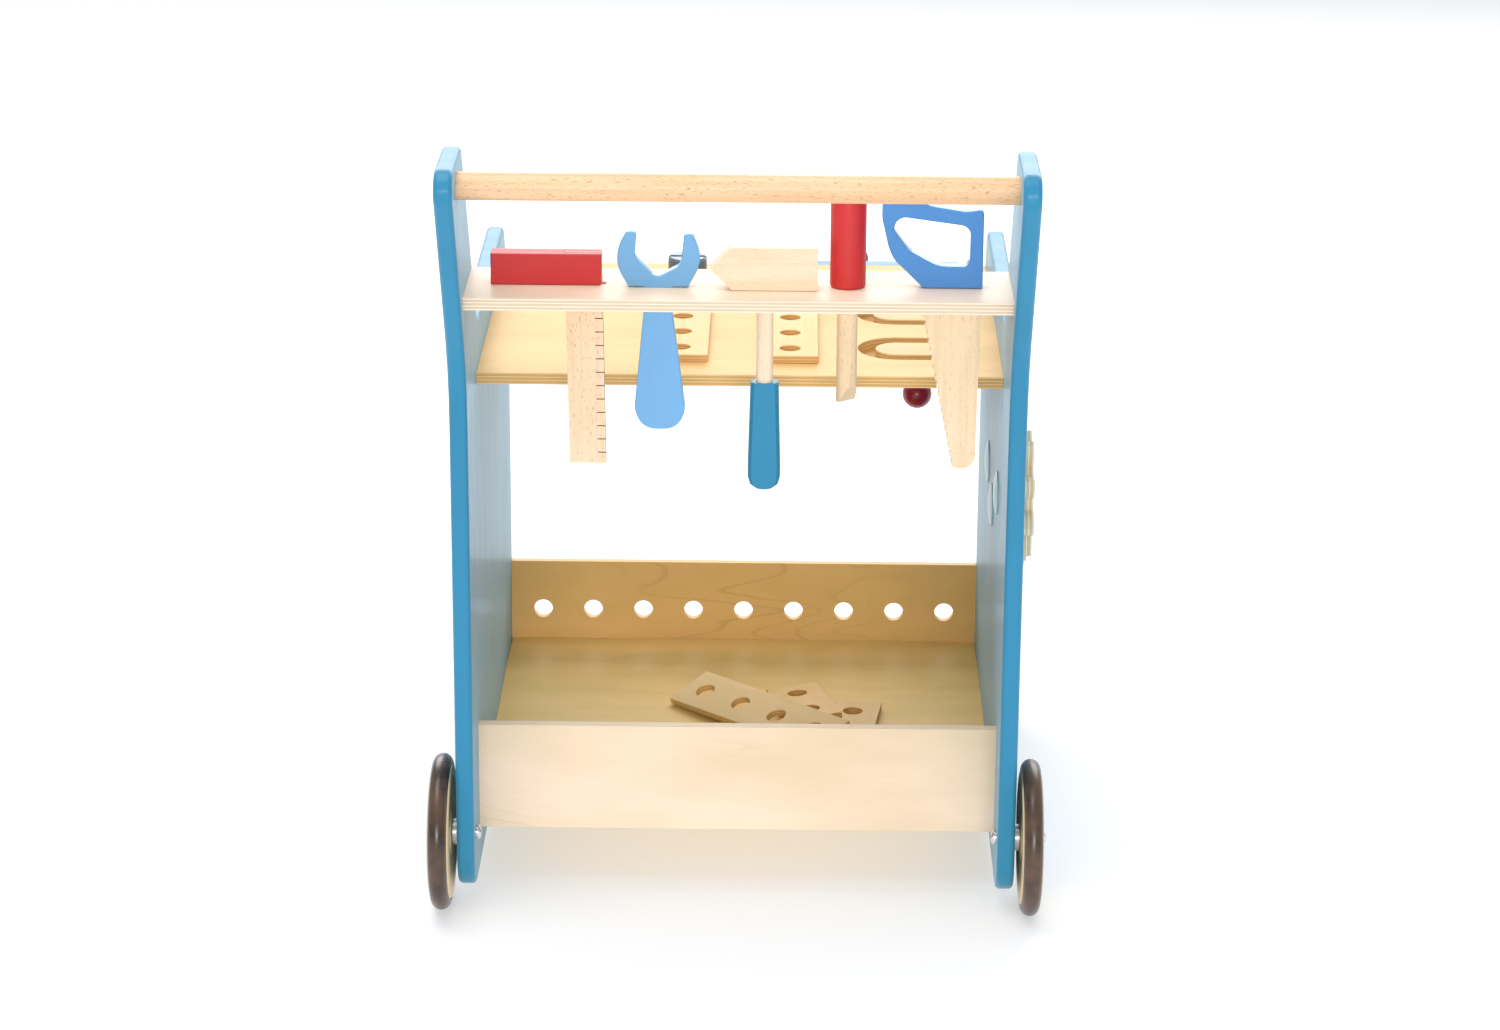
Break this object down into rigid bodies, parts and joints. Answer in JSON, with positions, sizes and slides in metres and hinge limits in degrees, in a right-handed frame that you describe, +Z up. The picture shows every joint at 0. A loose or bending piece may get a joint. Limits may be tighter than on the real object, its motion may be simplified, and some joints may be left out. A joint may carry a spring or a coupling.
{
  "type": "toy tool bench walker",
  "caption": "Wheeled wooden toy tool bench with a push rod, tool rack, worktop with vise, gear train, tray, peg board and loose tools.",
  "frame": {"origin": "on the floor, in the middle of the bench's bounding box", "axes": "+X to the right of the child who pushes it, +Y in the direction of travel, +Z up"},
  "size_m": [0.4202, 0.5174, 0.5365],
  "materials": {
    "blue_lacquer": "gloss lacquer on plywood",
    "light_blue_paint": "satin paint on plywood",
    "red_paint": "satin paint on beech",
    "ball_lacquer": "gloss lacquer on a turned ball",
    "slate_paint": "matt paint on beech",
    "birch_ply": "clear satin varnish on birch plywood",
    "beech": "clear satin varnish on steamed beech",
    "tyre_rubber": "smooth moulded rubber",
    "chrome_steel": "bright plated steel",
    "zinc_steel": "zinc plated steel"
  },
  "bodies": {
    "bench": {"side_panel_left": "blue_lacquer", "side_panel_right": "blue_lacquer", "push_rod": "beech", "tool_rack": "birch_ply", "worktop": "birch_ply", "slot_islands": "birch_ply", "slot_plates": "birch_ply", "tray_floor": "birch_ply", "front_board": "birch_ply", "peg_board": "birch_ply", "panel_screws": "chrome_steel", "axle_bolts": "chrome_steel", "axle_spacers": "zinc_steel", "axle_washers": "zinc_steel", "axle_cap_nuts": "chrome_steel", "gear_pins": "blue_lacquer", "gear_spacers": "zinc_steel", "gear_retainers": "zinc_steel", "vise_block": "beech"},
    "wheel_near_left": {"wheel_disc_near_left": "birch_ply", "tyre_near_left": "tyre_rubber"},
    "wheel_near_right": {"wheel_disc_near_right": "birch_ply", "tyre_near_right": "tyre_rubber"},
    "wheel_far_left": {"wheel_disc_far_left": "birch_ply", "tyre_far_left": "tyre_rubber"},
    "wheel_far_right": {"wheel_disc_far_right": "birch_ply", "tyre_far_right": "tyre_rubber"},
    "near_gear": {"gear_near": "birch_ply"},
    "middle_gear": {"gear_middle": "birch_ply"},
    "far_gear": {"gear_far": "birch_ply"},
    "jaw": {"vise_jaw": "blue_lacquer", "vise_guides": "beech"},
    "spindle": {"vise_spindle": "beech", "vise_ring": "zinc_steel", "vise_bar": "beech", "vise_balls": "ball_lacquer"},
    "try_square": {"square_stock": "red_paint", "square_blade": "beech"},
    "spanner": {"wrench": "light_blue_paint"},
    "hammer": {"hammer_head": "beech", "hammer_shaft": "beech", "hammer_grip": "blue_lacquer"},
    "driver": {"driver_handle": "red_paint", "driver_shank": "beech"},
    "saw": {"saw_handle": "light_blue_paint", "saw_blade": "beech"},
    "left_strip": {"long_strip_left": "birch_ply"},
    "bolt": {"work_bolt": "slate_paint"},
    "right_strip": {"long_strip_right": "birch_ply"},
    "low_strip": {"tray_strip_low": "birch_ply"},
    "mid_strip": {"tray_strip_mid": "birch_ply"},
    "top_strip": {"tray_strip_top": "birch_ply"}
  },
  "joints": [
    {"name": "wheel_near_left_spin", "type": "hinge", "parent": "bench", "child": "wheel_near_left", "pos_m": [-0.1988, -0.15226, 0.053], "axis": [1, 0, 0], "continuous": true},
    {"name": "wheel_near_right_spin", "type": "hinge", "parent": "bench", "child": "wheel_near_right", "pos_m": [0.1988, -0.15226, 0.053], "axis": [1, 0, 0], "continuous": true},
    {"name": "wheel_far_left_spin", "type": "hinge", "parent": "bench", "child": "wheel_far_left", "pos_m": [-0.1988, 0.20574, 0.053], "axis": [1, 0, 0], "continuous": true},
    {"name": "wheel_far_right_spin", "type": "hinge", "parent": "bench", "child": "wheel_far_right", "pos_m": [0.1988, 0.20574, 0.053], "axis": [1, 0, 0], "continuous": true},
    {"name": "near_gear_turn", "type": "hinge", "parent": "bench", "child": "near_gear", "pos_m": [0.1941, -0.05226, 0.265], "axis": [1, 0, 0], "continuous": true},
    {"name": "middle_gear_turn", "type": "hinge", "parent": "bench", "child": "middle_gear", "pos_m": [0.1941, 0.01299, 0.23457], "axis": [1, 0, 0], "continuous": true},
    {"name": "far_gear_turn", "type": "hinge", "parent": "bench", "child": "far_gear", "pos_m": [0.1941, 0.07484, 0.24659], "axis": [1, 0, 0], "continuous": true},
    {"name": "jaw_slide", "type": "slide", "parent": "bench", "child": "jaw", "axis": [0, 1, 0], "range_m": [0, 0.04]},
    {"name": "spindle_turn", "type": "hinge", "parent": "jaw", "child": "spindle", "pos_m": [0.1045, 0.20574, 0.3006], "axis": [0, 1, 0], "range_deg": [0, 1801]},
    {"name": "square_lift", "type": "slide", "parent": "bench", "child": "try_square", "axis": [0, 0, 1], "range_m": [0, 0.135]},
    {"name": "spanner_lift", "type": "slide", "parent": "bench", "child": "spanner", "axis": [0, 0, 1], "range_m": [0, 0.11]},
    {"name": "hammer_lift", "type": "slide", "parent": "bench", "child": "hammer", "axis": [0, 0, 1], "range_m": [0, 0.15]},
    {"name": "driver_lift", "type": "slide", "parent": "bench", "child": "driver", "axis": [0, 0, 1], "range_m": [0, 0.09]},
    {"name": "saw_lift", "type": "slide", "parent": "bench", "child": "saw", "axis": [0, 0, 1], "range_m": [0, 0.135]},
    {"name": "left_strip_lift", "type": "slide", "parent": "bench", "child": "left_strip", "axis": [0, 0, 1], "range_m": [0, 0.06]},
    {"name": "bolt_lift", "type": "slide", "parent": "left_strip", "child": "bolt", "axis": [0, 0, 1], "range_m": [0, 0.06]},
    {"name": "right_strip_lift", "type": "slide", "parent": "bench", "child": "right_strip", "axis": [0, 0, 1], "range_m": [0, 0.06]},
    {"name": "low_strip_lift", "type": "slide", "parent": "bench", "child": "low_strip", "axis": [0, 0, 1], "range_m": [0, 0.05]},
    {"name": "mid_strip_lift", "type": "slide", "parent": "low_strip", "child": "mid_strip", "axis": [0, 0, 1], "range_m": [0, 0.05]},
    {"name": "top_strip_lift", "type": "slide", "parent": "mid_strip", "child": "top_strip", "axis": [0, 0, 1], "range_m": [0, 0.05]}
  ],
  "couplings": [
    {"joint": "middle_gear_turn", "follows": "near_gear_turn", "ratio": -1},
    {"joint": "far_gear_turn", "follows": "near_gear_turn", "ratio": 1.3333},
    {"joint": "spindle_turn", "follows": "jaw_slide", "rad_per_m": 785.4}
  ]
}
